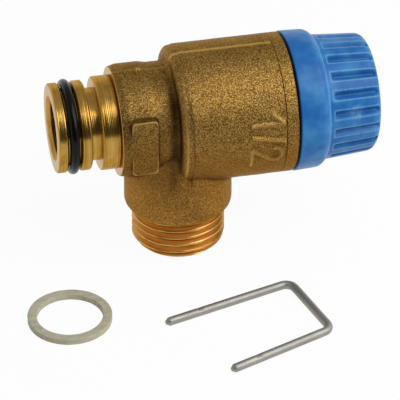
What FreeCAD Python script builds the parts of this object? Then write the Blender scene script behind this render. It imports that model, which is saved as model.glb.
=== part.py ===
"""Angle pressure relief valve: clip-in spigot, threaded outlet, turn-to-vent knob.

Millimetres, +Z up.  The origin is the centre of the outlet's foot, where the valve
stands.  The main axis runs along +X, from the inlet spigot to the knob, at
AXIS_HEIGHT.  Every piece on the main axis is drawn about the X axis and raised last.
"""
import FreeCAD, Part
import math
import os

V = FreeCAD.Vector
ALONG_X = V(1, 0, 0)
ALONG_Z = V(0, 0, 1)

# ---- Outlet: a male G1/2 thread that points down ----
AXIS_HEIGHT = 32.4           # foot to the main axis
THREAD_RADIUS = 10.478       # G1/2 major radius; the turns themselves are not cut
THREAD_LENGTH = 9.9
FOOT_CHAMFER = 1.4
OUTLET_STEM_RADIUS = 12.1
OUTLET_STEM_ROUND = 1.3      # cast rounding above the thread
OUTLET_BORE_RADIUS = 7.75
BORE_CHAMFER = 0.4

# ---- Inlet spigot, from the free end to the neck ----
SPIGOT_RADIUS = 9.95
FRONT_LAND_LENGTH = 2.2
O_RING_GROOVE_LENGTH = 2.9
MIDDLE_LAND_LENGTH = 2.4
CLIP_GROOVE_LENGTH = 2.2
CLIP_GROOVE_RADIUS = 8.05
REAR_LAND_LENGTH = 4.0
REAR_LAND_RADIUS = 10.4
LAND_CHAMFER = 0.3
O_RING_SECTION = 2.1
O_RING_PROUD = 0.6           # how far the ring stands above the lands
INLET_BORE_RADIUS = 6.4

# ---- Neck and barrel of the forging ----
NECK_REACH = 14.5            # outlet axis to the neck's machined face
NECK_RADIUS = 12.15
COLLAR_PROUD = 0.4
COLLAR_LENGTH = 6.6
COLLAR_TAPER = 1.7
ACROSS_FLATS = 25.4
FLAT_WIDTH = 5.8
FLAT_HEIGHT = 13.4
FLAT_INSET = 1.9             # neck face to the flat
FLAT_ROUND = 0.5
SHOULDER_REACH = 1.9         # outlet axis to the shoulder, on the inlet side
SHOULDER_ROUND = 2.0
SHOULDER_FILLET = 1.35
BARREL_RADIUS = 15.55
BARREL_REACH = 21.2          # outlet axis to the bonnet joint
JOINT_BREAK = 0.15           # broken edges either side of the joint

# ---- Seat and chamber ----
SEAT_REACH = 3.0             # outlet axis to the seat
SEAT_BORE_RADIUS = 5.0
SEAT_LIP = 0.8
NOZZLE_WALL = 2.0
NOZZLE_TAPER = 1.2
PASSAGE_WALL = 2.2           # metal between the inlet and outlet bores
CHAMBER_RADIUS = 11.6
CHAMBER_LENGTH = 9.5
BONNET_BORE_RADIUS = 13.4
SEAT_GAP = 0.05              # drawn between the seat and its disc, so that they don't overlap

# ---- Disc, diaphragm and stem ----
SEAT_DISC_THICKNESS = 2.0
SEAT_DISC_PROUD = 0.6
SEAT_DISC_RADIUS = 6.2
HOLDER_LENGTH = 4.85
HOLDER_WALL = 1.0
DIAPHRAGM_THICKNESS = 1.0
DIAPHRAGM_RIDGE = 0.9        # height of its moulded convolution
DIAPHRAGM_RIDGE_WIDTH = 2.0
BACKING_RADIUS = 7.8
BACKING_THICKNESS = 1.2
STEM_RADIUS = 2.5
STEM_COLLAR_RADIUS = 4.2
STEM_COLLAR_LENGTH = 2.0
STEM_ENGAGEMENT = 2.0        # length of stem screwed into the disc holder
SCREW_RADIUS = 1.5
SCREW_HEAD_RADIUS = 2.8
SCREW_HEAD_HEIGHT = 1.2
SCREW_LENGTH = 3.5
SCREW_SLOT = 0.7
DISC_WASHER_RADIUS = 4.2
DISC_WASHER_THICKNESS = 0.5
ASSEMBLY_CLEARANCE = 0.05    # between pieces that are screwed or pressed together
RUNNING_CLEARANCE = 0.08     # between the stem and what guides it

# ---- Bonnet, spring and adjuster ----
SLIP_RING_THICKNESS = 1.0
SLIP_RING_RADIUS = 10.9      # its hole
BONNET_WALL = 2.75           # of the screwed sleeve
FLANGE_THICKNESS = 2.7
TOWER_RADIUS = 11.3
TOWER_WALL = 1.8
TOWER_LENGTH = 10.7
SPRING_PLATE_THICKNESS = 1.3
SPRING_WIRE = 2.0
SPRING_CLEARANCE = 0.7       # between the spring and the tower's bore
SPRING_PITCH = 3.2
SPRING_STEPS = 20            # sections in each turn
SPRING_SIDES = 10
ADJUSTER_THICKNESS = 3.4
ADJUSTER_INSET = 1.2         # below the tower's rim
ADJUSTER_SLOT_WIDTH = 2.4
ADJUSTER_SLOT_DEPTH = 1.5

# ---- Venting cam between the bonnet and the knob ----
CAM_COUNT = 4
CAM_SWEEP = 86.0             # degrees covered by one ramp
CAM_LEAD = 0.15              # height of a ramp's low end
VENT_TURN = 60.0             # degrees of knob turn
VENT_LIFT = 1.5
LUG_START = 3.0              # degrees from a ramp's low end to its lug
LUG_SWEEP = 12.0
CAM_GAP = 0.15
CAM_STEPS = 6

# ---- Knob ----
KNOB_GAP = 0.55              # bonnet flange to skirt
SKIRT_PROUD = 0.15           # of the barrel
SKIRT_TAPER = 0.25
SKIRT_LENGTH = 6.95
SKIRT_ROUND = 2.5
SKIRT_SLANT = 0.73           # how far the rounding's end leans
SKIRT_WALL = 1.6
GRIP_RADIUS = 14.05
GRIP_TAPER = 0.9
GRIP_LENGTH = 12.0
GRIP_ROUND = 2.2
GRIP_CLEARANCE = 0.6         # between the tower and the knob's cavity
FLUTE_COUNT = 20
FLUTE_WIDTH = 1.9
FLUTE_DEPTH = 0.7
FLUTE_PHASE = 4.5            # degrees from the top to the first flute
FLUTE_INSET = 1.1            # skirt to the flutes' square ends
KNOB_WEB = 2.1               # web that the stem passes through
RECESS_RADIUS = 8.0

# ---- What holds the knob ----
KNOB_WASHER_RADIUS = 4.6
KNOB_WASHER_THICKNESS = 0.6
NUT_ACROSS_FLATS = 8.0
NUT_THICKNESS = 2.0
CAP_THICKNESS = 0.9
CAP_RIM = 0.9
CAP_INSET = 0.2

# ---- Loose pieces, lying beside the valve ----
FIBRE_WASHER_RADIUS = 9.27
FIBRE_WASHER_HOLE = 7.2
FIBRE_WASHER_THICKNESS = 1.4
FIBRE_WASHER_PLACE = (-29.8, -26.6)
CLIP_WIRE_RADIUS = 0.95
CLIP_CLEARANCE = 0.45        # each leg to the root of its groove
CLIP_BEND_RADIUS = 2.2
CLIP_LONG_LEG = (31.0, -1.8)  # length, and degrees that it opens
CLIP_SHORT_LEG = (25.9, 6.8)
CLIP_PLACE = (22.2, -34.35)  # middle of its bridge
CLIP_HEADING = 193.9         # degrees, the way that its legs point

# ---- Stations along the main axis, worked out from the sizes above ----
neck_face = -NECK_REACH
clip_groove_end = neck_face - REAR_LAND_LENGTH
clip_groove_start = clip_groove_end - CLIP_GROOVE_LENGTH
o_ring_groove_end = clip_groove_start - MIDDLE_LAND_LENGTH
o_ring_groove_start = o_ring_groove_end - O_RING_GROOVE_LENGTH
spigot_face = o_ring_groove_start - FRONT_LAND_LENGTH
o_ring_root = SPIGOT_RADIUS + O_RING_PROUD - O_RING_SECTION

disc_face = SEAT_REACH + SEAT_GAP
disc_back = disc_face + SEAT_DISC_THICKNESS
holder_face = disc_face + SEAT_DISC_PROUD
diaphragm_face = holder_face + HOLDER_LENGTH
diaphragm_back = diaphragm_face + DIAPHRAGM_THICKNESS
backing_back = diaphragm_back + BACKING_THICKNESS
plate_back = backing_back + SPRING_PLATE_THICKNESS
bonnet_face = diaphragm_back + SLIP_RING_THICKNESS
flange_back = BARREL_REACH + FLANGE_THICKNESS
tower_end = flange_back + TOWER_LENGTH
tower_bore = TOWER_RADIUS - TOWER_WALL
adjuster_back = tower_end - ADJUSTER_INSET
adjuster_face = adjuster_back - ADJUSTER_THICKNESS
spring_outer = tower_bore - SPRING_CLEARANCE
spring_inner = spring_outer - SPRING_WIRE
spring_plate_radius = spring_outer + SPRING_CLEARANCE / 4

cam_slope = VENT_LIFT / VENT_TURN
web_face = tower_end + CAM_LEAD + cam_slope * CAM_SWEEP + 2 * CAM_GAP
web_back = web_face + KNOB_WEB
skirt_face = flange_back + KNOB_GAP
skirt_radius = BARREL_RADIUS + SKIRT_PROUD
skirt_back = skirt_face + SKIRT_LENGTH
knob_end = skirt_back + GRIP_LENGTH
cap_back = knob_end - CAP_INSET
knob_washer_back = web_back + ASSEMBLY_CLEARANCE + KNOB_WASHER_THICKNESS
nut_back = knob_washer_back + NUT_THICKNESS


def turned(corners, axis):
    """Revolve (along, radius) corners; a third value rounds that corner."""
    across = ALONG_Z if axis is ALONG_X else ALONG_X
    points = [axis * corner[0] + across * corner[1] for corner in corners]
    spans = []
    for index, corner in enumerate(corners):
        here = points[index]
        if len(corner) == 2:
            spans.append((here, here, here))
            continue
        back = (points[index - 1] - here).normalize()
        ahead = (points[(index + 1) % len(points)] - here).normalize()
        half_angle = back.getAngle(ahead) / 2
        reach = corner[2] / math.tan(half_angle)
        bulge = corner[2] / math.sin(half_angle) - corner[2]
        middle = here + (back + ahead).normalize() * bulge
        spans.append((here + back * reach, middle, here + ahead * reach))
    edges = []
    for index, (start, middle, end) in enumerate(spans):
        if not start.isEqual(end, 1e-6):
            edges.append(Part.Arc(start, middle, end).toShape())
        following = spans[(index + 1) % len(spans)][0]
        if not end.isEqual(following, 1e-6):
            edges.append(Part.LineSegment(end, following).toShape())
    return Part.Face(Part.Wire(edges)).revolve(V(0, 0, 0), axis, 360)


def ring(start, end, outer, inner):
    """Plain ring or washer on the main axis."""
    return turned([(start, inner), (start, outer), (end, outer), (end, inner)], ALONG_X)


def land(start, end, radius):
    """Corners of a turned land with a chamfer at each end."""
    return [
        (start, radius - LAND_CHAMFER),
        (start + LAND_CHAMFER, radius),
        (end - LAND_CHAMFER, radius),
        (end, radius - LAND_CHAMFER),
    ]


def round_bar(start, length, radius, axis):
    return Part.makeCylinder(radius, length, start, axis)


def cam_block(inner, outer, first, sweep, low, high):
    """Block round the main axis whose end faces follow low(angle) and high(angle)."""
    sections = []
    for step in range(CAM_STEPS + 1):
        angle = first + sweep * step / CAM_STEPS
        # Angles run the way that the knob turns, anticlockwise from its free end.
        out = V(0, -math.sin(math.radians(angle)), math.cos(math.radians(angle)))
        near = ALONG_X * low(angle - first)
        far = ALONG_X * high(angle - first)
        corners = [out * inner + near, out * outer + near, out * outer + far, out * inner + far]
        sections.append(Part.makePolygon(corners + corners[:1]))
    return Part.makeLoft(sections, True, True)


def main_profile():
    """Outer outline of the forging, from the spigot's face to the bonnet joint."""
    collar = NECK_RADIUS + COLLAR_PROUD
    collar_end = neck_face + COLLAR_LENGTH
    profile = [(spigot_face, 0)]
    profile += land(spigot_face, o_ring_groove_start, SPIGOT_RADIUS)
    profile += [(o_ring_groove_start, o_ring_root), (o_ring_groove_end, o_ring_root)]
    profile += land(o_ring_groove_end, clip_groove_start, SPIGOT_RADIUS)
    profile += [(clip_groove_start, CLIP_GROOVE_RADIUS), (clip_groove_end, CLIP_GROOVE_RADIUS)]
    profile += land(clip_groove_end, neck_face, REAR_LAND_RADIUS)
    profile += [
        (neck_face, NECK_RADIUS),
        (neck_face + COLLAR_TAPER, collar, 1.0),
        (collar_end, collar, 1.0),
        (collar_end + 2 * COLLAR_PROUD, NECK_RADIUS, 1.0),
        (-SHOULDER_REACH, NECK_RADIUS, SHOULDER_FILLET),
        (-SHOULDER_REACH, BARREL_RADIUS, SHOULDER_ROUND),
        (BARREL_REACH - JOINT_BREAK, BARREL_RADIUS),
        (BARREL_REACH, BARREL_RADIUS - JOINT_BREAK),
        (BARREL_REACH, 0),
    ]
    return turned(profile, ALONG_X)


def outlet_stem():
    """Cast stem and turned thread blank, about the vertical axis."""
    return turned([
        (0, 0),
        (0, THREAD_RADIUS - FOOT_CHAMFER),
        (FOOT_CHAMFER, THREAD_RADIUS),
        (THREAD_LENGTH, THREAD_RADIUS),
        (THREAD_LENGTH, OUTLET_STEM_RADIUS, OUTLET_STEM_ROUND),
        (AXIS_HEIGHT, OUTLET_STEM_RADIUS),
        (AXIS_HEIGHT, 0),
    ], ALONG_Z)


def spanner_flats():
    """Pads on both sides of the neck, which a spanner grips."""
    start = V(neck_face + FLAT_INSET, -ACROSS_FLATS / 2, AXIS_HEIGHT - FLAT_HEIGHT / 2)
    block = Part.makeBox(FLAT_WIDTH, ACROSS_FLATS, FLAT_HEIGHT, start)
    long_edges = [edge for edge in block.Edges if abs(edge.BoundBox.YLength) < 0.01]
    return block.makeFillet(FLAT_ROUND, long_edges)


def inlet_passage():
    cone_end = SEAT_REACH - CHAMBER_LENGTH / 2
    return turned([
        (spigot_face, 0),
        (spigot_face, INLET_BORE_RADIUS + BORE_CHAMFER),
        (spigot_face + BORE_CHAMFER, INLET_BORE_RADIUS),
        (cone_end - (INLET_BORE_RADIUS - SEAT_BORE_RADIUS), INLET_BORE_RADIUS),
        (cone_end, SEAT_BORE_RADIUS),
        (SEAT_REACH, SEAT_BORE_RADIUS),
        (SEAT_REACH, 0),
    ], ALONG_X)


def chamber():
    """Space round the seat's nozzle, the diaphragm's shelf and the bonnet's bore."""
    nozzle = SEAT_BORE_RADIUS + NOZZLE_WALL
    return turned([
        (SEAT_REACH, 0),
        (SEAT_REACH, SEAT_BORE_RADIUS + SEAT_LIP),
        (SEAT_REACH - NOZZLE_TAPER, nozzle),
        (diaphragm_face - CHAMBER_LENGTH, nozzle),
        (diaphragm_face - CHAMBER_LENGTH, CHAMBER_RADIUS, 1.0),
        (diaphragm_face, CHAMBER_RADIUS),
        (diaphragm_face, BONNET_BORE_RADIUS),
        (BARREL_REACH, BONNET_BORE_RADIUS),
        (BARREL_REACH, 0),
    ], ALONG_X)


def outlet_passage():
    top = AXIS_HEIGHT - INLET_BORE_RADIUS - PASSAGE_WALL
    return turned([
        (0, 0),
        (0, OUTLET_BORE_RADIUS + BORE_CHAMFER),
        (BORE_CHAMFER, OUTLET_BORE_RADIUS),
        (top, OUTLET_BORE_RADIUS, 1.0),
        (top, 0),
    ], ALONG_Z)


def raised(shape):
    return shape.translated(V(0, 0, AXIS_HEIGHT))


def valve_body():
    body = raised(main_profile()).fuse([outlet_stem(), spanner_flats()]).removeSplitter()
    return body.cut([raised(inlet_passage()), raised(chamber()), outlet_passage()])


def inlet_o_ring():
    middle = (o_ring_groove_start + o_ring_groove_end) / 2
    section = O_RING_SECTION / 2
    return Part.makeTorus(o_ring_root + section, section, V(middle, 0, 0), ALONG_X)


def bonnet():
    sleeve = BONNET_BORE_RADIUS - ASSEMBLY_CLEARANCE
    shell = turned([
        (bonnet_face, sleeve - BONNET_WALL),
        (bonnet_face, sleeve),
        (BARREL_REACH, sleeve),
        (BARREL_REACH, BARREL_RADIUS - JOINT_BREAK),
        (BARREL_REACH + JOINT_BREAK, BARREL_RADIUS),
        (flange_back, BARREL_RADIUS, JOINT_BREAK),
        (flange_back, TOWER_RADIUS),
        (tower_end, TOWER_RADIUS),
        (tower_end, tower_bore),
        (BARREL_REACH, tower_bore),
        (BARREL_REACH - BONNET_WALL, sleeve - BONNET_WALL),
    ], ALONG_X)
    ramps = []
    for index in range(CAM_COUNT):
        first = index * 360 / CAM_COUNT
        root = tower_end - CAM_LEAD
        ramps.append(cam_block(
            tower_bore, TOWER_RADIUS, first, CAM_SWEEP,
            lambda turn: root,
            lambda turn: tower_end + CAM_LEAD + cam_slope * turn,
        ))
    return shell.fuse(ramps)


def slip_ring():
    return ring(diaphragm_back, bonnet_face, BONNET_BORE_RADIUS - ASSEMBLY_CLEARANCE, SLIP_RING_RADIUS)


def diaphragm():
    """Rubber disc with one moulded ridge, clamped at its rim and round the stem."""
    outer = BONNET_BORE_RADIUS - ASSEMBLY_CLEARANCE
    ridge_inner = BACKING_RADIUS + 0.5
    ridge_outer = ridge_inner + DIAPHRAGM_RIDGE_WIDTH
    middle = (ridge_inner + ridge_outer) / 2
    crown = DIAPHRAGM_THICKNESS * 0.45
    return turned([
        (diaphragm_face, STEM_RADIUS),
        (diaphragm_face, ridge_inner),
        (diaphragm_face + DIAPHRAGM_RIDGE, middle, crown),
        (diaphragm_face, ridge_outer),
        (diaphragm_face, outer),
        (diaphragm_back, outer),
        (diaphragm_back, ridge_outer + crown),
        (diaphragm_back + DIAPHRAGM_RIDGE, middle, crown),
        (diaphragm_back, ridge_inner - crown),
        (diaphragm_back, STEM_RADIUS),
    ], ALONG_X)


def disc_holder():
    outer = SEAT_DISC_RADIUS + HOLDER_WALL
    waist = outer - 1.2
    return turned([
        (disc_back, SCREW_RADIUS),
        (disc_back, SEAT_DISC_RADIUS),
        (holder_face, SEAT_DISC_RADIUS),
        (holder_face, outer, 0.3),
        (disc_back + HOLDER_WALL, outer, 0.3),
        (disc_back + 2 * HOLDER_WALL, waist),
        (diaphragm_face, waist),
        (diaphragm_face, STEM_RADIUS),
        (diaphragm_face - STEM_ENGAGEMENT, STEM_RADIUS),
        (diaphragm_face - STEM_ENGAGEMENT, SCREW_RADIUS),
    ], ALONG_X)


def seat_disc():
    return ring(disc_face, disc_back, SEAT_DISC_RADIUS - ASSEMBLY_CLEARANCE, SCREW_RADIUS)


def seat_disc_washer():
    return ring(disc_face - DISC_WASHER_THICKNESS, disc_face, DISC_WASHER_RADIUS, SCREW_RADIUS)


def seat_disc_screw():
    head_back = disc_face - DISC_WASHER_THICKNESS
    head_front = head_back - SCREW_HEAD_HEIGHT
    # The shank is a hair slimmer than its hole, as a screw is in its thread.
    shank = SCREW_RADIUS - ASSEMBLY_CLEARANCE
    screw = turned([
        (head_front, 0),
        (head_front, SCREW_HEAD_RADIUS, 0.4),
        (head_back, SCREW_HEAD_RADIUS),
        (head_back, shank),
        (head_back + SCREW_LENGTH, shank),
        (head_back + SCREW_LENGTH, 0),
    ], ALONG_X)
    start = V(head_front - 1, -SCREW_HEAD_RADIUS, -SCREW_SLOT / 2)
    slot = Part.makeBox(1 + SCREW_SLOT, 2 * SCREW_HEAD_RADIUS, SCREW_SLOT, start)
    return screw.cut(slot)


def backing_washer():
    return ring(diaphragm_back, backing_back, BACKING_RADIUS, STEM_RADIUS + ASSEMBLY_CLEARANCE)


def spring_plate():
    """Seat of the spring's lower end, with a lip that centres it."""
    lip = spring_inner - ASSEMBLY_CLEARANCE
    return turned([
        (backing_back, STEM_RADIUS + ASSEMBLY_CLEARANCE),
        (backing_back, spring_plate_radius, 0.4),
        (plate_back, spring_plate_radius),
        (plate_back, lip),
        (plate_back + SPRING_PLATE_THICKNESS, lip - 0.3),
        (plate_back + SPRING_PLATE_THICKNESS, STEM_COLLAR_RADIUS + 1.0),
        (plate_back, STEM_COLLAR_RADIUS + 0.5),
        (plate_back, STEM_RADIUS + ASSEMBLY_CLEARANCE),
    ], ALONG_X)


def stem():
    start = diaphragm_face - STEM_ENGAGEMENT
    shank = STEM_RADIUS - ASSEMBLY_CLEARANCE
    return turned([
        (start, 0),
        (start, shank - 0.3),
        (start + 0.3, shank),
        (plate_back, shank),
        (plate_back, STEM_COLLAR_RADIUS),
        (plate_back + STEM_COLLAR_LENGTH, STEM_COLLAR_RADIUS, 0.3),
        (plate_back + STEM_COLLAR_LENGTH, STEM_RADIUS),
        (nut_back - 0.4, STEM_RADIUS),
        (nut_back, STEM_RADIUS - 0.4),
        (nut_back, 0),
    ], ALONG_X)


def spring():
    """Compression spring of round wire, ground flat at both ends."""
    coil = spring_outer - SPRING_WIRE / 2
    length = adjuster_face - plate_back
    helix = math.atan(SPRING_PITCH / (2 * math.pi * coil))
    sections = []
    # One wire's thickness more than its length, for the grinding to take off.
    for step in range(math.ceil(SPRING_STEPS * (length + SPRING_WIRE) / SPRING_PITCH) + 1):
        turn = 2 * math.pi * step / SPRING_STEPS
        out = V(0, math.cos(turn), math.sin(turn))
        round_about = V(0, -math.sin(turn), math.cos(turn))
        up = ALONG_X * math.cos(helix) - round_about * math.sin(helix)
        middle = out * coil + ALONG_X * (SPRING_PITCH * step / SPRING_STEPS - SPRING_WIRE / 2)
        corners = []
        for side in range(SPRING_SIDES + 1):
            angle = 2 * math.pi * side / SPRING_SIDES
            corners.append(middle + (out * math.cos(angle) + up * math.sin(angle)) * SPRING_WIRE / 2)
        sections.append(Part.makePolygon(corners))
    wire = Part.makeLoft(sections, True, True)
    ground = wire.common(round_bar(V(0, 0, 0), length, spring_outer + 1, ALONG_X))
    return ground.translated(ALONG_X * plate_back)


def spring_adjuster():
    """Screwed ring that loads the spring and guides the stem."""
    outer = tower_bore - ASSEMBLY_CLEARANCE
    nut = turned([
        (adjuster_face, STEM_RADIUS + RUNNING_CLEARANCE),
        (adjuster_face, outer, 0.3),
        (adjuster_back, outer, 0.3),
        (adjuster_back, STEM_RADIUS + RUNNING_CLEARANCE),
    ], ALONG_X)
    start = V(adjuster_back - ADJUSTER_SLOT_DEPTH, -outer, -ADJUSTER_SLOT_WIDTH / 2)
    slot = Part.makeBox(2 * ADJUSTER_SLOT_DEPTH, 2 * outer, ADJUSTER_SLOT_WIDTH, start)
    return nut.cut(slot)


def grip_radius(station):
    """Radius of the tapered grip at a station along the main axis."""
    return GRIP_RADIUS - GRIP_TAPER * (station - skirt_back) / GRIP_LENGTH


def flute(index):
    """Square-ended slot that runs out through the knob's rounded end."""
    start = skirt_back + FLUTE_INSET
    floor_start = grip_radius(start) - FLUTE_DEPTH
    floor_end = grip_radius(knob_end) - FLUTE_DEPTH
    top = GRIP_RADIUS + 1
    points = [
        V(start, -FLUTE_WIDTH / 2, floor_start),
        V(knob_end + 1, -FLUTE_WIDTH / 2, floor_end),
        V(knob_end + 1, -FLUTE_WIDTH / 2, top),
        V(start, -FLUTE_WIDTH / 2, top),
    ]
    slot = Part.Face(Part.makePolygon(points + points[:1])).extrude(V(0, FLUTE_WIDTH, 0))
    return slot.rotate(V(0, 0, 0), ALONG_X, FLUTE_PHASE + index * 360 / FLUTE_COUNT)


def knob():
    """Moulded knob: skirt over the flange, fluted grip, cam lugs and nut recess."""
    grip_end = grip_radius(knob_end)
    cavity = TOWER_RADIUS + GRIP_CLEARANCE
    bore = STEM_RADIUS + RUNNING_CLEARANCE
    shell = turned([
        (skirt_face, skirt_radius - SKIRT_WALL),
        (skirt_face, skirt_radius, 0.25),
        (skirt_back - SKIRT_SLANT, skirt_radius - SKIRT_TAPER, SKIRT_ROUND),
        (skirt_back, GRIP_RADIUS),
        (knob_end, grip_end, GRIP_ROUND),
        (knob_end, RECESS_RADIUS),
        (web_back, RECESS_RADIUS),
        (web_back, bore),
        (web_face, bore),
        (web_face, cavity),
        (skirt_back - SKIRT_WALL, cavity),
        (skirt_back - SKIRT_WALL, skirt_radius - SKIRT_TAPER - SKIRT_WALL),
    ], ALONG_X)
    lugs = []
    for index in range(CAM_COUNT):
        first = index * 360 / CAM_COUNT + LUG_START
        contact = tower_end + CAM_LEAD + cam_slope * LUG_START + CAM_GAP
        lugs.append(cam_block(
            tower_bore + CAM_GAP, TOWER_RADIUS - CAM_GAP, first, LUG_SWEEP,
            lambda turn: contact + cam_slope * turn,
            lambda turn: web_face + CAM_GAP,
        ))
    flutes = [flute(index) for index in range(FLUTE_COUNT)]
    return shell.fuse(lugs).cut(flutes)


def knob_washer():
    start = web_back + ASSEMBLY_CLEARANCE
    return ring(start, knob_washer_back, KNOB_WASHER_RADIUS, STEM_RADIUS + ASSEMBLY_CLEARANCE)


def stem_nut():
    corner = NUT_ACROSS_FLATS / 2 / math.cos(math.radians(30))
    corners = []
    for index in range(7):
        angle = math.radians(60 * index)
        corners.append(V(knob_washer_back, corner * math.cos(angle), corner * math.sin(angle)))
    block = Part.Face(Part.makePolygon(corners)).extrude(ALONG_X * NUT_THICKNESS)
    rounding = turned([
        (knob_washer_back, 0),
        (knob_washer_back, corner + 0.1),
        (nut_back - 0.5, corner + 0.1),
        (nut_back, NUT_ACROSS_FLATS / 2),
        (nut_back, 0),
    ], ALONG_X)
    hole = round_bar(ALONG_X * knob_washer_back, NUT_THICKNESS, STEM_RADIUS + ASSEMBLY_CLEARANCE, ALONG_X)
    return block.common(rounding).cut(hole)


def knob_cap():
    """Plain cap pressed into the recess, standing on its rim."""
    outer = RECESS_RADIUS - ASSEMBLY_CLEARANCE
    return turned([
        (web_back, outer - CAP_RIM),
        (web_back, outer),
        (cap_back, outer, 0.3),
        (cap_back, 0),
        (cap_back - CAP_THICKNESS, 0),
        (cap_back - CAP_THICKNESS, outer - CAP_RIM),
    ], ALONG_X)


def fibre_washer():
    washer = turned([
        (0, FIBRE_WASHER_HOLE),
        (0, FIBRE_WASHER_RADIUS),
        (FIBRE_WASHER_THICKNESS, FIBRE_WASHER_RADIUS, 0.15),
        (FIBRE_WASHER_THICKNESS, FIBRE_WASHER_HOLE, 0.15),
    ], ALONG_Z)
    return washer.translated(V(*FIBRE_WASHER_PLACE, 0))


def clip_side(leg, side):
    """Edges of one leg and its bend, from the tip to the bend's start on the bridge."""
    length, opening = leg
    half = CLIP_GROOVE_RADIUS + CLIP_CLEARANCE + CLIP_WIRE_RADIUS
    setback = CLIP_BEND_RADIUS * math.tan(math.radians(90 - opening) / 2)
    lean = math.radians(opening)
    toward_tip = V(math.cos(lean), side * math.sin(lean), 0)
    corner = V(0, side * half, 0)
    bend_start = corner - V(0, side * setback, 0)
    bend_end = corner + toward_tip * setback
    centre = bend_start + V(CLIP_BEND_RADIUS, 0, 0)
    middle = centre + (corner - centre).normalize() * CLIP_BEND_RADIUS
    tip = corner + toward_tip * length
    leg_edge = Part.LineSegment(tip, bend_end).toShape()
    bend_edge = Part.Arc(bend_end, middle, bend_start).toShape()
    return tip, toward_tip, bend_start, [leg_edge, bend_edge]


def retaining_clip():
    """Bent wire clip; its legs straddle the root of the clip groove, one longer than the other."""
    long_tip, long_way, long_start, long_edges = clip_side(CLIP_LONG_LEG, -1)
    short_tip, _, short_start, short_edges = clip_side(CLIP_SHORT_LEG, 1)
    bridge = Part.LineSegment(long_start, short_start).toShape()
    path = Part.Wire(long_edges + [bridge] + short_edges[::-1])
    section = Part.Wire(Part.makeCircle(CLIP_WIRE_RADIUS, long_tip, long_way))
    wire = path.makePipeShell([section], True, False)
    near_tip = [
        edge for edge in wire.Edges
        if min(edge.CenterOfMass.distanceToPoint(tip) for tip in (long_tip, short_tip)) < 0.01
    ]
    clip = wire.makeFillet(CLIP_WIRE_RADIUS * 0.6, near_tip)
    clip.rotate(V(0, 0, 0), ALONG_Z, CLIP_HEADING)
    return clip.translated(V(*CLIP_PLACE, CLIP_WIRE_RADIUS))


def main():
    os.makedirs("parts", exist_ok=True)
    on_main_axis = [
        inlet_o_ring, bonnet, slip_ring, diaphragm, disc_holder, seat_disc,
        seat_disc_washer, seat_disc_screw, backing_washer, spring_plate, stem, spring,
        spring_adjuster, knob, knob_washer, stem_nut, knob_cap,
    ]
    for make in on_main_axis:
        raised(make()).exportStep(f"parts/{make.__name__}.step")
    for make in [valve_body, fibre_washer, retaining_clip]:
        make().exportStep(f"parts/{make.__name__}.step")


main()
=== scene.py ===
"""Looks of the angle pressure relief valve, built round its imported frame.

Shapes are worked out in millimetres and go into meshes in metres.  Pieces on the main
axis are drawn about the X axis and raised to its height.
"""

import math

import bmesh
import bpy
from mathutils import Matrix, Vector, noise

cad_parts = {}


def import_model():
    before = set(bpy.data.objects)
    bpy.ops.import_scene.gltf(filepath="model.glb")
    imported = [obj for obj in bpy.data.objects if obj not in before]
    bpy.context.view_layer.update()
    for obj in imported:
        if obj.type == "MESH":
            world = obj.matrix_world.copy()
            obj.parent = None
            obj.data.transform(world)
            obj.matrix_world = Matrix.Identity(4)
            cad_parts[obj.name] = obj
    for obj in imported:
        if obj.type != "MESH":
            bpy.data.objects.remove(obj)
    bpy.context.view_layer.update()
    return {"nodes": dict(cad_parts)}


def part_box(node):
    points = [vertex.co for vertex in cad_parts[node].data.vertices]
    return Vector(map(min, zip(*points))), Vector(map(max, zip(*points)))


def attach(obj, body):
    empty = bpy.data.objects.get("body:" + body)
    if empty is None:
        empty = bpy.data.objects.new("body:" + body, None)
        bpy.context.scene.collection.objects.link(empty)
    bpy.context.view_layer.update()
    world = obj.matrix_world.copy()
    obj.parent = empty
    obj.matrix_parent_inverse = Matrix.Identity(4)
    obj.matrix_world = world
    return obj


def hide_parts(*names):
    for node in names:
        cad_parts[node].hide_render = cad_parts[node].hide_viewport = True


MM = 0.001

# ---- Sizes that the frame doesn't state, in millimetres, as the CAD has them ----
THREAD_LENGTH = 9.9
THREAD_RADIUS = 10.478
FOOT_CHAMFER = 1.4
OUTLET_STEM_RADIUS = 12.1
OUTLET_STEM_ROUND = 1.3
OUTLET_BORE_RADIUS = 7.75
BORE_CHAMFER = 0.4
SPIGOT_RADIUS = 9.95
FRONT_LAND_LENGTH = 2.2
O_RING_GROOVE_LENGTH = 2.9
MIDDLE_LAND_LENGTH = 2.4
CLIP_GROOVE_LENGTH = 2.2
CLIP_GROOVE_RADIUS = 8.05
REAR_LAND_LENGTH = 4.0
REAR_LAND_RADIUS = 10.4
LAND_CHAMFER = 0.3
O_RING_SECTION = 2.1
INLET_BORE_RADIUS = 6.4
NECK_RADIUS = 12.15
COLLAR_PROUD = 0.4
COLLAR_LENGTH = 6.6
COLLAR_TAPER = 1.7           # along the collar's sloping start
CAST_ROUND = 1.0
FLAT_WIDTH = 5.8
FLAT_HEIGHT = 13.4
ACROSS_FLATS = 25.4
FLAT_INSET = 1.9
SHOULDER_REACH = 1.9
SHOULDER_ROUND = 2.0
SHOULDER_FILLET = 1.35
SEAT_REACH = 3.0
SEAT_BORE_RADIUS = 5.0
NOZZLE_WALL = 2.0
PASSAGE_WALL = 2.2
CHAMBER_RADIUS = 11.6
CHAMBER_LENGTH = 9.5
BORE_ROUND = 1.0             # in the blind corners of the chamber and the outlet
BONNET_BORE_RADIUS = 13.4
JOINT_BREAK = 0.15           # broken edge of the barrel at the bonnet joint
SKIRT_LENGTH = 6.95
SKIRT_WALL = 1.6
SKIRT_TAPER = 0.25
SKIRT_ROUND = 2.5
SKIRT_SLANT = 0.73
GRIP_RADIUS = 14.05
GRIP_TAPER = 0.9
GRIP_ROUND = 2.2
GRIP_CLEARANCE = 0.6
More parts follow.
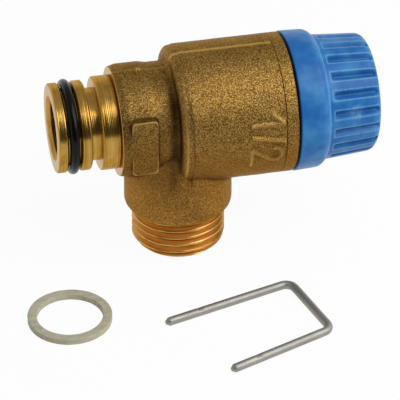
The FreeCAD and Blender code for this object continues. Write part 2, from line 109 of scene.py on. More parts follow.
TOWER_RADIUS = 11.3
TOWER_WALL = 1.8
KNOB_WEB = 2.1
KNOB_BORE_RADIUS = 2.58
RECESS_RADIUS = 8.0
FLUTE_COUNT = 20
FLUTE_WIDTH = 1.9
FLUTE_PHASE = 4.5            # degrees from the top to the first flute
FLUTE_INSET = 1.1            # from the skirt to a flute's end
CAM_SWEEP = 86.0             # degrees covered by one ramp
CAM_SLOPE = 0.025            # millimetres that a ramp climbs in a degree
LUG_COUNT = 4
LUG_START = 3.0
LUG_SWEEP = 12.0
CAM_GAP = 0.15
CLIP_WIRE_RADIUS = 0.95
CLIP_CLEARANCE = 0.45
CLIP_BEND_RADIUS = 2.2
CLIP_LONG_LEG = (31.0, -1.8)  # length, and degrees that it opens
CLIP_SHORT_LEG = (25.9, 6.8)
CLIP_PLACE = (22.2, -34.35)
CLIP_HEADING = 193.9
WASHER_HOLE_RADIUS = 7.2

# ---- Finer shapes, which the CAD leaves out ----
THREAD_PITCH = 1.814
THREAD_DEPTH = 1.162
THREAD_FADE = 1.5            # length over which the last turn runs out
THREAD_FADED = 0.8           # share of its depth that the last turn loses
THREAD_CREST = 0.06          # share of a turn's rise that is flat at its root, and at its crest
THREAD_COVER = 0.7           # that the threaded piece reaches above the thread
MOUTH_BEVEL = 0.8            # of the inlet's mouth, across
MOUTH_DEPTH = 0.9            # and into it
FACE_COVER = 0.1             # thickness of the neck's machined face over the casting
COLLAR_START = 0.35          # that the collar's sloping start lies inside the neck
COLLAR_RUN_OUT = 2.0         # length over which it falls back to the neck
FLAT_ROUND = 0.8             # of the spanner flats' corners
NOZZLE_BEVEL = 1.2
FLUTE_SCOOP = 1.05           # depth of a flute's scooped floor
FLUTE_FLOOR = 0.1            # share of its half width that lies at that depth
FLUTE_EDGE = 0.4             # width of its rounded edge
FLUTE_RUN_OUT = (0.7, 0.8)   # inside the grip's small end, where it runs out, and over how much
CAP_DISH = 0.25              # depth of the cap's dished face
CAP_GATE = (1.1, 0.15)       # radius and height of its moulding gate
CAP_WALL = 0.9
CLIP_FLATS = (7.6, 6.1)      # each leg's tip to its small pressed flat
CLIP_FLAT_LENGTH = 1.1
CLIP_FLAT_DEPTH = 0.12
CLIP_TIP = (0.5, 0.8)        # share of the wire's radius at a bevelled tip, and its length
WASHER_WAVE = 0.03           # unevenness of the punched edges

# ---- The forging's surface ----
VOXEL = 0.2                  # of its remeshed skin
OVERRUN = 1.2                # drawn past each machined face, then cut off
FLASH_HEIGHT = 0.10          # trimmed flash along the parting plane
FLASH_WIDTH = 0.45
STUB = (-9.0, 0.7, 0.3)      # flash left on the neck: place, half length and height
SHOULDER_DIP = (-0.2, 0.5, 0.16)  # hollow behind the shoulder's edge: place, half width, depth
UNEVEN = ((4.5, 0.05), (1.3, 0.03))  # size and height of the skin's unevenness
CORNER_SHADE = 1.5           # how far the painted shade in the corners spreads
# Painted light round the shoulder, as (place, half width, dark below 0 or light above): a painted
# shadow band on the neck, a painted highlight along the shoulder's rounded edge and a line of
# painted shade in the dip behind it.
SHOULDER_SHADOW_BAND = (-3.3, 1.4, -0.17)
SHOULDER_HIGHLIGHT_RIDGE = (-0.8, 0.4, 0.19)
SHOULDER_SHADE_LINE = (0.55, 0.22, -0.24)
SHOULDER_FOOT = (14, 24)     # heights over which those bands begin
SHOULDER_TOP = (8, 13)       # and over which they end, above the axis
TRIM_ON_NECK = 0.2           # brightness of the trimmed flash on the neck, against the barrel
MARK_WEAR_HIGHLIGHT = 0.2             # of the raised figures' tops, lighter with wear and a painted highlight, in the same measure
MARK_PROUD = 0.35            # of the raised 1/2 on the barrel's near side
MARK_STROKE = 1.0
MARK_RAGGED = 0.12           # unevenness of its edges
MARK_EDGE = (0.4, 0.3)       # its rounded edge, inside and outside the stroke's width
# Its strokes, as (distance down from the axis, distance along it) from point to point.
MARK_ONE = ((-3.9, 13.4), (-4.0, 20.4), (-6.1, 18.2))
MARK_SLASH = ((-1.2, 13.5), (0.3, 20.6))
MARK_TWO = (
    (6.6, 13.3), (2.0, 13.3), (3.6, 15.6), (5.2, 17.6), (5.4, 19.0), (4.4, 20.0), (3.0, 20.1),
    (2.0, 19.2), (1.9, 18.2),
)

# ---- Materials: sizes in millimetres, places in metres, colours in linear light ----
GRAIN_SIZE = 0.29            # of the shot-blasted grain
GRAIN_DEPTH = 0.15
GRAIN_STOPS = (0.40, 0.50, 0.60)  # its pits, skin and specks
GOLDEN = ((0.112, 0.055, 0.013), (0.250, 0.134, 0.029), (0.500, 0.312, 0.088))
# Low-down grain: copper-toned, its specks dulled as painted shade.
COPPERY_SHADED = ((0.143, 0.065, 0.013), (0.245, 0.112, 0.021), (0.365, 0.190, 0.043))
PALE = ((0.178, 0.084, 0.018), (0.310, 0.145, 0.028), (0.460, 0.250, 0.058))
COPPERY_BELOW = (0.038, 0.027)  # heights over which the tone changes, with the specks dulled low down as painted shade
PALE_BELOW = (0.023, 0.017)
STAIN = (0.090, 0.042, 0.010)
# Painted shade on the neck, which the shoulder shadows.
NECK_PAINTED_SHADE = (0.040, 0.020, 0.006)
NECK_END = (-0.0015, -0.004)  # where the painted shade on the neck begins, along the axis
NECK_FOOT = (0.016, 0.022)   # and in height
# Painted shade in the concave corners.
PAINTED_CORNER_SHADE = (0.035, 0.018, 0.006)
# Convex edges: wear and a painted highlight.
WORN_EDGE_HIGHLIGHT = (0.520, 0.335, 0.110)
TRIMMED_BRASS = (0.640, 0.400, 0.110)
BRASS_RIM = (0.80, 0.66, 0.50)  # tint of brass seen at a glancing angle
RING_STRETCH = 0.015         # of the lathe's rings, along them
RING_DEPTH = 0.09
TURNED = (0.54, 0.33, 0.075)
TURNED_DARK = (0.36, 0.185, 0.032)
# Pale painted reflection of the white surroundings on faces square to the axis.
TURNED_FACE_REFLECTION = (0.66, 0.55, 0.43)
# The thread's brass, redder and brighter than the spigot's as a painted reflection.
THREAD_PAINTED_ORANGE = (0.72, 0.42, 0.130)
THREAD_PAINTED_ORANGE_DARK = (0.36, 0.145, 0.026)
RUBBER = ((0.001, 0.001, 0.0015), (0.003, 0.003, 0.0035))
BLUE = (0.013, 0.130, 0.415)
BLUE_HAZE = (0.044, 0.225, 0.510)
# Painted shade in the flutes' floors.
BLUE_FLUTE_SHADE = (0.004, 0.055, 0.240)
# Edges: wear and a painted highlight.
BLUE_RIM_WEAR_HIGHLIGHT = (0.210, 0.470, 0.700)
BLUE_SCUFFED = (0.26, 0.52, 0.74)
SCUFF_PLACE = (0.0376, -0.0134, 0.0357)
SCUFF_REACH = (0.0007, 0.0022)
CLIP_STEEL = (0.40, 0.385, 0.35)
SPRING_STEEL = (0.40, 0.40, 0.41)
PLATED_STEEL = (0.55, 0.54, 0.52)
FIBRE = ((0.42, 0.395, 0.28), (0.55, 0.525, 0.39))
FIBRE_MARK = (0.34, 0.315, 0.225)

# ---- Camera, lamp and surroundings ----
FLOOR_REACH = 300            # from the middle to each side, in millimetres
FLOOR_DROP = 0.00002         # below what stands on it, in metres
FLOOR_GLOW = 0.95            # share of the floor's white that shadows don't darken
CAMERA_AZIMUTH = -12.62
CAMERA_ELEVATION = 34.265
CAMERA_DISTANCE = 595.3
CAMERA_SENSOR = 36
CAMERA_LENS = 235.2
CAMERA_AIM = (5.824, 3.126, 6.345)
LAMP_PLACE = (0.34, -0.24, 0.44)
LAMP_AIM = (0, 0, 0.02)
LAMP_SIZE = 0.5
LAMP_POWER = 2.65
WORLD_FILL = 0.38            # share of the world's white that falls on matt surfaces
CEILING = 0.5                # brightness of the ceiling in reflections
CEILING_EDGE = (0.3, 0.6)    # height in the sky over which it begins
ROOM = 0.07                  # brightness of the room in front in reflections
ROOM_DIRECTION = (-0.2, -0.98, 0)
ROOM_EDGE = (0.45, 0.7)      # how nearly a ray goes that way where the room begins


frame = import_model()


def low(node):
    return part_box(node)[0] / MM


def high(node):
    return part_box(node)[1] / MM


# ---- Stations along the main axis, from the frame ----
axis_height = (low("knob_washer").z + high("knob_washer").z) / 2
spigot_face = low("valve_body").x
joint_face = high("valve_body").x
flange_radius = high("bonnet").z - axis_height
skirt_face = low("knob").x
knob_end = high("knob").x
skirt_radius = high("knob").z - axis_height
skirt_back = skirt_face + SKIRT_LENGTH
web_back = low("knob_cap").x
web_face = web_back - KNOB_WEB
diaphragm_face = low("diaphragm").x
o_ring_start = spigot_face + FRONT_LAND_LENGTH
o_ring_end = o_ring_start + O_RING_GROOVE_LENGTH
clip_start = o_ring_end + MIDDLE_LAND_LENGTH
clip_end = clip_start + CLIP_GROOVE_LENGTH
neck_face = clip_end + REAR_LAND_LENGTH
o_ring_outer = high("inlet_o_ring").z - axis_height
o_ring_root = o_ring_outer - O_RING_SECTION


# ======== Meshes ========

def rounded(corners, steps=6):
    """Points of a closed outline of (along, radius[, round]) corners."""
    points = []
    for index, corner in enumerate(corners):
        here = Vector(corner[:2])
        if len(corner) == 2:
            points.append(here)
            continue
        back = (Vector(corners[index - 1][:2]) - here).normalized()
        ahead = (Vector(corners[(index + 1) % len(corners)][:2]) - here).normalized()
        half_angle = back.angle(ahead) / 2
        reach = corner[2] / math.tan(half_angle)
        centre = here + (back + ahead).normalized() * corner[2] / math.sin(half_angle)
        start = here + back * reach - centre
        turn = start.angle_signed(here + ahead * reach - centre)
        for step in range(steps + 1):
            points.append(centre + Matrix.Rotation(-turn * step / steps, 2) @ start)
    return points


def linked(name, data):
    """Object of a mesh, a lamp or a camera, in the scene."""
    obj = bpy.data.objects.new(name, data)
    bpy.context.scene.collection.objects.link(obj)
    return obj


def mesh_object(name, points, faces):
    """Object of points in millimetres; doubled points are merged and faces turned outward."""
    mesh = bpy.data.meshes.new(name)
    mesh.from_pydata([Vector(point) * MM for point in points], [], faces)
    work = bmesh.new()
    work.from_mesh(mesh)
    bmesh.ops.remove_doubles(work, verts=work.verts, dist=1e-7)
    bmesh.ops.dissolve_degenerate(work, edges=work.edges, dist=1e-7)
    bmesh.ops.recalc_face_normals(work, faces=work.faces)
    work.to_mesh(mesh)
    work.free()
    return linked(name, mesh)


def skin(name, rings, closed):
    """Mesh over rings of points: the last ring meets the first, or both ends are capped."""
    count = len(rings[0])
    points = [point for ring in rings for point in ring]
    faces = []
    for row in range(len(rings) if closed else len(rings) - 1):
        here = row * count
        following = (row + 1) % len(rings) * count
        for column in range(count):
            beside = (column + 1) % count
            faces.append((here + column, here + beside, following + beside, following + column))
    if not closed:
        faces.append(tuple(range(count))[::-1])
        faces.append(tuple(range(len(points) - count, len(points))))
    return mesh_object(name, points, faces)


def angles(count):
    return [2 * math.pi * step / count for step in range(count)]


def about_x(along, radius, angle):
    return Vector((along, radius * math.sin(angle), axis_height + radius * math.cos(angle)))


def about_z(along, radius, angle):
    return Vector((radius * math.cos(angle), radius * math.sin(angle), along))


def turned(name, corners, about=about_x, segments=160):
    """Closed outline turned about an axis."""
    outline = rounded(corners)
    rings = [
        [about(point.x, point.y, angle) for point in outline] for angle in angles(segments)]
    return skin(name, rings, True)


def block(name, lowest, highest):
    """Box between two corners."""
    rings = []
    for z in (lowest[2], highest[2]):
        rings.append([
            (lowest[0], lowest[1], z), (highest[0], lowest[1], z),
            (highest[0], highest[1], z), (lowest[0], highest[1], z),
        ])
    return skin(name, rings, False)


def joined(name, objects):
    """One object of several, which it takes the place of."""
    work = bmesh.new()
    for obj in objects:
        work.from_mesh(obj.data)
        bpy.data.objects.remove(obj)
    mesh = bpy.data.meshes.new(name)
    work.to_mesh(mesh)
    work.free()
    return linked(name, mesh)


def apply_modifiers(obj):
    """The mesh takes on what its modifiers make of it."""
    graph = bpy.context.evaluated_depsgraph_get()
    made = bpy.data.meshes.new_from_object(obj.evaluated_get(graph))
    obj.modifiers.clear()
    obj.data = made


def remesh(obj, voxel, smoothing):
    """Fuses what overlaps into one skin of even faces, and smooths it."""
    skin_modifier = obj.modifiers.new("voxels", "REMESH")
    skin_modifier.mode = "VOXEL"
    skin_modifier.voxel_size = voxel * MM
    smooth = obj.modifiers.new("smooth", "SMOOTH")
    smooth.factor = 0.5
    smooth.iterations = smoothing
    apply_modifiers(obj)


def cut(obj, cutters):
    """Cuts the cutters' shapes out of a solid and deletes them."""
    for cutter in cutters:
        modifier = obj.modifiers.new("cut", "BOOLEAN")
        modifier.operation = "DIFFERENCE"
        modifier.solver = "MANIFOLD"
        modifier.object = cutter
        apply_modifiers(obj)
        bpy.data.objects.remove(cutter)


def smooth_shade(obj, angle=35):
    """Smooth faces, with edges left sharp where the surface turns more than angle."""
    obj.data.shade_smooth()
    work = bmesh.new()
    work.from_mesh(obj.data)
    limit = math.radians(angle)
    for edge in work.edges:
        edge.smooth = len(edge.link_faces) == 2 and edge.calc_face_angle(0) < limit
    work.to_mesh(obj.data)
    work.free()
    return obj


def smoothstep(start, end, value):
    share = min(max((value - start) / (end - start), 0), 1)
    return share * share * (3 - 2 * share)


def place(obj, body, slot, material, *nodes):
    """Gives a piece its material and its body, and hides the CAD nodes that it stands for. Its
    slot is not used.
    """
    obj.data.materials.clear()
    obj.data.materials.append(material)
    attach(obj, body)
    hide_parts(*nodes)


# ======== The forging ========

def casting_outline():
    """Neck, collar, shoulder and barrel, past both machined faces."""
    collar = NECK_RADIUS + COLLAR_PROUD
    collar_end = neck_face + COLLAR_LENGTH
    return [
        (neck_face - OVERRUN, 0),
        (neck_face - OVERRUN, NECK_RADIUS - COLLAR_START),
        (neck_face + COLLAR_TAPER, collar, CAST_ROUND),
        (collar_end, collar, CAST_ROUND),
        (collar_end + COLLAR_RUN_OUT, NECK_RADIUS, CAST_ROUND),
        (-SHOULDER_REACH, NECK_RADIUS, SHOULDER_FILLET),
        (-SHOULDER_REACH, flange_radius, SHOULDER_ROUND),
        (joint_face + OVERRUN, flange_radius),
        (joint_face + OVERRUN, 0),
    ]


def cast_stem():
    return turned("stem_blank", [
        (THREAD_LENGTH, 0),
        (THREAD_LENGTH, OUTLET_STEM_RADIUS, OUTLET_STEM_ROUND),
        (axis_height, OUTLET_STEM_RADIUS),
        (axis_height, 0),
    ], about_z)


def spanner_pads():
    """One bar through the neck, whose two ends are the spanner flats."""
    start = neck_face + FLAT_INSET
    bottom, top = axis_height - FLAT_HEIGHT / 2, axis_height + FLAT_HEIGHT / 2
    outline = rounded([
        (start, bottom, FLAT_ROUND), (start + FLAT_WIDTH, bottom, FLAT_ROUND),
        (start + FLAT_WIDTH, top, FLAT_ROUND), (start, top, FLAT_ROUND),
    ])
    rings = []
    for side in (-ACROSS_FLATS / 2, ACROSS_FLATS / 2):
        rings.append([(point.x, side, point.y) for point in outline])
    return skin("pads", rings, False)


def stroke_distance(spot, strokes):
    """Distance from spot to the nearest of the strokes' straight parts."""
    nearest = 100.0
    for stroke in strokes:
        for start, end in zip(stroke, stroke[1:]):
            start, end = Vector(start), Vector(end)
            along = end - start
            share = min(max((spot - start).dot(along) / along.length_squared, 0), 1)
            nearest = min(nearest, (spot - start - along * share).length)
    return nearest


def mark_relief(point):
    """Height of the raised figures 1/2, which read down the barrel's near side."""
    on_near_side = point.y < -8 and 12 < point.x < 22
    if not on_near_side:
        return 0
    down = flange_radius * math.atan2(axis_height - point.z, -point.y)
    spot = Vector((down, point.x))
    distance = stroke_distance(spot, (MARK_ONE, MARK_SLASH, MARK_TWO))
    distance += MARK_RAGGED * noise.noise(point / 0.8)
    half = MARK_STROKE / 2
    inside, outside = MARK_EDGE
    return MARK_PROUD * (1 - smoothstep(half - inside, half + outside, distance))


def flash(point):
    """1 on the trimmed flash along the top of the parting plane, 0 away from it."""
    on_top = smoothstep(axis_height, axis_height + 3, point.z)
    return on_top * math.exp(-(point.y / FLASH_WIDTH) ** 4)


def casting_relief(point):
    """How far the forged skin stands proud of its drawn shape, in millimetres."""
    relief = sum(height * noise.noise(point / size) for size, height in UNEVEN)
    where, reach, proud = STUB
    stub = proud * math.exp(-((point.x - where) / reach) ** 4)
    where, reach, depth = SHOULDER_DIP
    from_axis = Vector((point.y, point.z - axis_height)).length
    on_barrel_edge = from_axis > NECK_RADIUS + 2 and point.z > 20
    if on_barrel_edge:
        relief -= depth * math.exp(-((point.x - where) / reach) ** 2)
    return relief + (FLASH_HEIGHT + stub) * flash(point) + mark_relief(point)


def shoulder_painted_light(point):
    """Painted light round the barrel's shoulder: below 0 for painted shadow and shade, above 0
    for a painted highlight.
    """
    total = 0
    for where, reach, weight in (SHOULDER_SHADOW_BAND, SHOULDER_HIGHLIGHT_RIDGE, SHOULDER_SHADE_LINE):
        total += weight * math.exp(-((point.x - where) / reach) ** 2)
    above_foot = smoothstep(*SHOULDER_FOOT, point.z)
    return total * above_foot * (1 - smoothstep(*SHOULDER_TOP, point.z - axis_height))


def note_edges(obj):
    """Attributes for the material: how proud of the smoothed shape, with the shoulder's painted
    light added, and how trimmed, with the raised figures' painted highlight.
    """
    smooth = obj.modifiers.new("smooth", "SMOOTH")
    smooth.factor = 0.5
    smooth.iterations = round(2 * (CORNER_SHADE / VOXEL) ** 2)
    graph = bpy.context.evaluated_depsgraph_get()
    smoothed = bpy.data.meshes.new_from_object(obj.evaluated_get(graph))
    obj.modifiers.clear()
    proud = obj.data.attributes.new("proud", "FLOAT", "POINT")
    trimmed = obj.data.attributes.new("trimmed", "FLOAT", "POINT")
    for index, (vert, soft) in enumerate(zip(obj.data.vertices, smoothed.vertices)):
        point = vert.co / MM
        stands = (vert.co - soft.co).dot(vert.normal) / MM
        # The proud value also carries the shoulder's painted shadow, highlight and shade.
        proud.data[index].value = stands + shoulder_painted_light(point)
        on_barrel = smoothstep(-SHOULDER_REACH - 0.5, -SHOULDER_REACH + 0.5, point.x)
        line = flash(point) * (TRIM_ON_NECK + (1 - TRIM_ON_NECK) * on_barrel)
        raised = mark_relief(point) / MARK_PROUD
        # The raised figures' tops: wear and a painted highlight.
        trimmed.data[index].value = max(line, MARK_WEAR_HIGHLIGHT * raised)
    bpy.data.meshes.remove(smoothed)


def body_cutters():
    """Machined spaces: ends, inlet, seat chamber, bonnet thread and outlet.

    Each reaches past the face that it opens through.
    """
    far = 30.0
    joint = joint_face - 0.02
    thread_root = THREAD_RADIUS - THREAD_DEPTH
    nozzle = SEAT_BORE_RADIUS + NOZZLE_WALL
    chamber_face = diaphragm_face - CHAMBER_LENGTH
    cone_end = SEAT_REACH - CHAMBER_LENGTH / 2
    passage_top = axis_height - INLET_BORE_RADIUS - PASSAGE_WALL
    return [
        block("end", (neck_face - far, -far, 0), (neck_face + FACE_COVER, far, 2 * far)),
        turned("joint", [
            (joint, 0),
            (joint, flange_radius - JOINT_BREAK),
            (joint - 2 * JOINT_BREAK, flange_radius + JOINT_BREAK),
            (joint_face + far, flange_radius + JOINT_BREAK),
            (joint_face + far, 0),
        ]),
        turned("inlet", [
            (neck_face - 1, 0),
            (neck_face - 1, INLET_BORE_RADIUS),
            (cone_end - (INLET_BORE_RADIUS - SEAT_BORE_RADIUS), INLET_BORE_RADIUS),
            (cone_end, SEAT_BORE_RADIUS),
            (SEAT_REACH + 1, SEAT_BORE_RADIUS),
            (SEAT_REACH + 1, 0),
        ]),
        turned("chamber", [
            (SEAT_REACH, 0),
            (SEAT_REACH, nozzle - NOZZLE_BEVEL),
            (SEAT_REACH - NOZZLE_BEVEL, nozzle),
            (chamber_face, nozzle),
            (chamber_face, CHAMBER_RADIUS, BORE_ROUND),
            (diaphragm_face, CHAMBER_RADIUS),
            (diaphragm_face, BONNET_BORE_RADIUS),
            (joint_face + 1, BONNET_BORE_RADIUS),
            (joint_face + 1, 0),
        ]),
        turned("outlet", [
            (THREAD_LENGTH - 1, 0),
            (THREAD_LENGTH - 1, thread_root),
            (THREAD_LENGTH + 0.8, thread_root),
            (THREAD_LENGTH + 0.8, OUTLET_BORE_RADIUS),
            (passage_top, OUTLET_BORE_RADIUS, BORE_ROUND),
            (passage_top, 0),
        ], about_z),
    ]


def body_casting():
    """The forging: fused, roughened, noted for its material, and then machined."""
    blank = turned("casting_blank", casting_outline())
    body = joined("body_casting", [blank, cast_stem(), spanner_pads()])
    remesh(body, VOXEL, 3)
    normals = [vert.normal.copy() for vert in body.data.vertices]
    for vert, normal in zip(body.data.vertices, normals):
        vert.co += normal * casting_relief(vert.co / MM) * MM
    note_edges(body)
    cut(body, body_cutters())
    return smooth_shade(body, 50)


# ======== Turned brass ========

def land(start, end, radius):
    """Outline of a land with broken edges."""
    return [
        (start, radius - LAND_CHAMFER, 0.08),
        (start + LAND_CHAMFER, radius, 0.15),
        (end - LAND_CHAMFER, radius, 0.15),
        (end, radius - LAND_CHAMFER, 0.08),
    ]


def inlet_spigot():
    """Machined spigot with its two grooves, and the neck's machined face."""
    outline = [(spigot_face + MOUTH_DEPTH, INLET_BORE_RADIUS)]
    outline += [(spigot_face, INLET_BORE_RADIUS + MOUTH_BEVEL)]
    outline += land(spigot_face, o_ring_start, SPIGOT_RADIUS)
    outline += [(o_ring_start, o_ring_root, 0.15), (o_ring_end, o_ring_root, 0.15)]
    outline += land(o_ring_end, clip_start, SPIGOT_RADIUS)
    outline += [(clip_start, CLIP_GROOVE_RADIUS, 0.15), (clip_end, CLIP_GROOVE_RADIUS, 0.15)]
    outline += land(clip_end, neck_face, REAR_LAND_RADIUS)[:3]
    outline += [
        (neck_face, REAR_LAND_RADIUS - LAND_CHAMFER),
        (neck_face, NECK_RADIUS - FACE_COVER),
        (neck_face + FACE_COVER, NECK_RADIUS),
        (neck_face + FACE_COVER, INLET_BORE_RADIUS),
    ]
    return smooth_shade(turned("inlet_spigot", outline, segments=224))


def thread_radius(share, height):
    """Radius of the outlet thread, where share goes from 0 to 1, from root to root."""
    rise = 1 - abs(2 * share - 1)
    rise = min(max((rise - THREAD_CREST) / (1 - 2 * THREAD_CREST), 0), 1)
    crest = 0.5 - 0.5 * math.cos(math.pi * rise)
    fade = 1 - THREAD_FADED * smoothstep(THREAD_LENGTH - THREAD_FADE, THREAD_LENGTH, height)
    radius = THREAD_RADIUS - THREAD_DEPTH * fade * (1 - crest)
    return min(radius, THREAD_RADIUS - FOOT_CHAMFER + height)


def outlet_thread():
    """Threaded end of the outlet: columns of points that climb with the helix.

    Each column runs up the bore, over the chamfered mouth and up the thread, and is cut
    level at both ends.
    """
    across = 24
    segments = 160
    top = THREAD_LENGTH + THREAD_COVER
    turns = math.ceil(top / THREAD_PITCH) + 2
    rings = []
    for step, angle in enumerate(angles(segments)):
        ring = [
            about_z(top, OUTLET_BORE_RADIUS, angle),
            about_z(BORE_CHAMFER, OUTLET_BORE_RADIUS, angle),
            about_z(0, OUTLET_BORE_RADIUS + BORE_CHAMFER, angle),
        ]
        for row in range(turns * across + 1):
            height = THREAD_PITCH * (row / across - 1 + step / segments)
            level = min(max(height, 0), top)
            radius = thread_radius(row / across % 1, level)
            ring.append(about_z(level, radius, angle))
        rings.append(ring)
    count = len(rings[0])
    points = [point for ring in rings for point in ring]
    faces = []
    for step in range(segments):
        here = step * count
        for row in range(count):
            pair = (row, (row + 1) % count)
            if step < segments - 1:
                following = [here + count + each for each in pair]
            else:
                # The last column meets the first one turn further along the helix.
                following = [min(each + across, count - 1) if each > 2 else each for each in pair]
            faces.append((here + pair[0], here + pair[1], following[1], following[0]))
    return smooth_shade(mesh_object("outlet_thread", points, faces), 60)


# ======== Rubber, knob and loose pieces ========

def o_ring():
    middle = (o_ring_start + o_ring_end) / 2
    section = O_RING_SECTION / 2
    circle = []
    for angle in angles(28):
        out = section * (1 + math.sin(angle))
        circle.append((middle + section * math.cos(angle), o_ring_root + out))
    return smooth_shade(turned("inlet_seal", circle, segments=144), 80)


def knob_outline():
    """Closed outline of the knob without its flutes, finely divided along the grip."""
    cavity = TOWER_RADIUS + GRIP_CLEARANCE
    recess = RECESS_RADIUS + 0.02
    corners = [
        (skirt_face, skirt_radius - SKIRT_WALL),
        (skirt_face, skirt_radius, 0.3),
        (skirt_back - SKIRT_SLANT, skirt_radius - SKIRT_TAPER, SKIRT_ROUND),
        (skirt_back, GRIP_RADIUS),
        (knob_end, GRIP_RADIUS - GRIP_TAPER, GRIP_ROUND),
        (knob_end, recess, 0.2),
        (web_back, recess),
        (web_back, KNOB_BORE_RADIUS),
        (web_face, KNOB_BORE_RADIUS),
        (web_face, cavity),
        (skirt_back - SKIRT_WALL, cavity),
        (skirt_back - SKIRT_WALL, skirt_radius - SKIRT_TAPER - SKIRT_WALL),
    ]
    outline = []
    points = rounded(corners, 10)
    for index, point in enumerate(points):
        outline.append(point)
        following = points[(index + 1) % len(points)]
        behind_skirt = min(point.x, following.x) > skirt_back - 0.5
        outside = min(point.y, following.y) > RECESS_RADIUS + 1
        pieces = 1
        if behind_skirt and outside:
            pieces = math.ceil((following - point).length / 0.22)
        for piece in range(1, pieces):
            outline.append(point.lerp(following, piece / pieces))
    return outline


def on_grip(point):
    return point.x > skirt_back + 0.5 and point.y > RECESS_RADIUS + 2


def flute_depth(point, offset):
    """Depth of a scooped flute at a point of the outline, offset from its centre line."""
    if not on_grip(point):
        return 0
    half = FLUTE_WIDTH / 2
    scoop = 1 - smoothstep(FLUTE_FLOOR * half, half + FLUTE_EDGE / 2, abs(offset))
    end = smoothstep(-FLUTE_EDGE / 2, FLUTE_EDGE, point.x - (skirt_back + FLUTE_INSET))
    inside, reach = FLUTE_RUN_OUT
    run_out = GRIP_RADIUS - GRIP_TAPER - inside
    return FLUTE_SCOOP * scoop * end * smoothstep(run_out, run_out + reach, point.y)


def rim_wear_and_highlight(point, offset):
    """1 or more on the edges lightened by wear and a painted highlight: round each flute and
    behind the skirt.
    """
    behind = 0
    if point.y > GRIP_RADIUS - 0.2:
        behind = 1.5 * math.exp(-((point.x - skirt_back + 0.18) / 0.2) ** 2)
    if not on_grip(point) or point.y <= GRIP_RADIUS - GRIP_TAPER - 0.8:
        return behind
    side = abs(offset) - FLUTE_WIDTH / 2 - FLUTE_EDGE / 2
    end = skirt_back + FLUTE_INSET - FLUTE_EDGE / 2 - point.x
    outside = Vector((max(side, 0), max(end, 0))).length + min(max(side, end), 0)
    return max(behind, math.exp(-(outside / 0.16) ** 2))


def knob_shell():
    """Moulded knob: plain skirt and a grip with flutes that run into its rounded end."""
    half = FLUTE_WIDTH / 2
    sector = 2 * math.pi / FLUTE_COUNT
    half_sector = sector * GRIP_RADIUS / 2
    edge = FLUTE_EDGE / 2
    # Columns of points to each side of a flute's centre line, close together at its edge.
    near = [half * share for share in (0, 0.15, 0.35, 0.55, 0.75, 0.9)]
    near += [half + edge * share for share in (0, 0.5, 1, 1.5)]
    far = [half + 3 * edge, (half + half_sector) / 2 + 1.5 * edge]
    offsets = sorted({-value for value in near + far} | set(near + far)) + [half_sector]
    outline = knob_outline()
    rings = []
    rim_wear_highlight_and_shade = []
    for flute in range(FLUTE_COUNT):
        for offset in offsets:
            angle = offset / GRIP_RADIUS + flute * sector - math.radians(FLUTE_PHASE)
            ring = []
            for point in outline:
                depth = flute_depth(point, offset)
                ring.append(about_x(point.x, point.y - depth, angle))
                # Edge wear with a painted highlight, and painted shade below 0 in the flutes'
                # floors.
                rim_wear_highlight_and_shade.append(rim_wear_and_highlight(point, offset) - 0.5 * depth / FLUTE_SCOOP)
            rings.append(ring)
    knob = skin("knob_shell", rings, True)
    rim_wear_highlight_and_flute_shade = knob.data.attributes.new("rim_wear_highlight_and_flute_shade", "FLOAT", "POINT")
    rim_wear_highlight_and_flute_shade.data.foreach_set("value", rim_wear_highlight_and_shade)
    return smooth_shade(knob, 40)


def knob_lugs():
    """Four cam followers inside the knob, with faces that climb as the ramps do."""
    inner = TOWER_RADIUS - TOWER_WALL + CAM_GAP
    outer = TOWER_RADIUS - CAM_GAP
    ramp_start = high("bonnet").x - CAM_SLOPE * CAM_SWEEP
    steps = 6
    lugs = []
    for index in range(LUG_COUNT):
        rings = []
        for step in range(steps + 1):
            turn = LUG_START + LUG_SWEEP * step / steps
            angle = -math.radians(index * 360 / LUG_COUNT + turn)
            face = ramp_start + CAM_GAP + CAM_SLOPE * turn
            back = web_face + CAM_GAP
            rings.append([
                about_x(face, inner, angle), about_x(face, outer, angle),
                about_x(back, outer, angle), about_x(back, inner, angle),
            ])
        lugs.append(skin(f"lug_{index}", rings, False))
    return smooth_shade(joined("knob_lugs", lugs), 30)


def cap_disc():
    """Pressed-in cap of the knob, slightly dished, with a small moulding gate."""
    outer = RECESS_RADIUS - 0.05
    face = high("knob_cap").x
    dish = face - CAP_DISH
    gate_radius, gate_height = CAP_GATE
    gate = dish + gate_height
    outline = [
        (web_back, outer - CAP_WALL),
        (web_back, outer),
        (face, outer, 0.35),
        (face, outer - 1.3, 0.3),
        (dish, outer - 1.8, 0.3),
        (dish, gate_radius, 0.1),
        (gate, gate_radius - 0.2, 0.1),
        (gate, 0),
        (face - CAP_WALL, 0),
        (face - CAP_WALL, outer - CAP_WALL),
    ]
    return smooth_shade(turned("knob_cap_disc", outline, segments=128))


def fibre_ring():
    """Punched fibre washer, with the slight waviness of its edges."""
    lowest, highest = low("fibre_washer"), high("fibre_washer")
    centre = (lowest + highest) / 2
    outer = (highest.x - lowest.x) / 2 - 0.03
    thickness = highest.z - 0.02
    hole = WASHER_HOLE_RADIUS
    outline = rounded([
        (0, hole + 0.03, 0.08), (0, outer - 0.04, 0.1),
        (thickness, outer, 0.2), (thickness, hole, 0.2),
    ], 4)
    rings = []
    for angle in angles(180):
        ring = []
        for point in outline:
            spot = about_z(point.x, point.y, angle)
            wave = WASHER_WAVE * noise.noise(spot / 1.7) - 0.01
            spot = about_z(max(point.x + wave * point.x / thickness, 0), point.y + wave, angle)
            ring.append(spot + Vector((centre.x, centre.y, 0)))
        rings.append(ring)
    return smooth_shade(skin("fibre_ring", rings, True), 50)


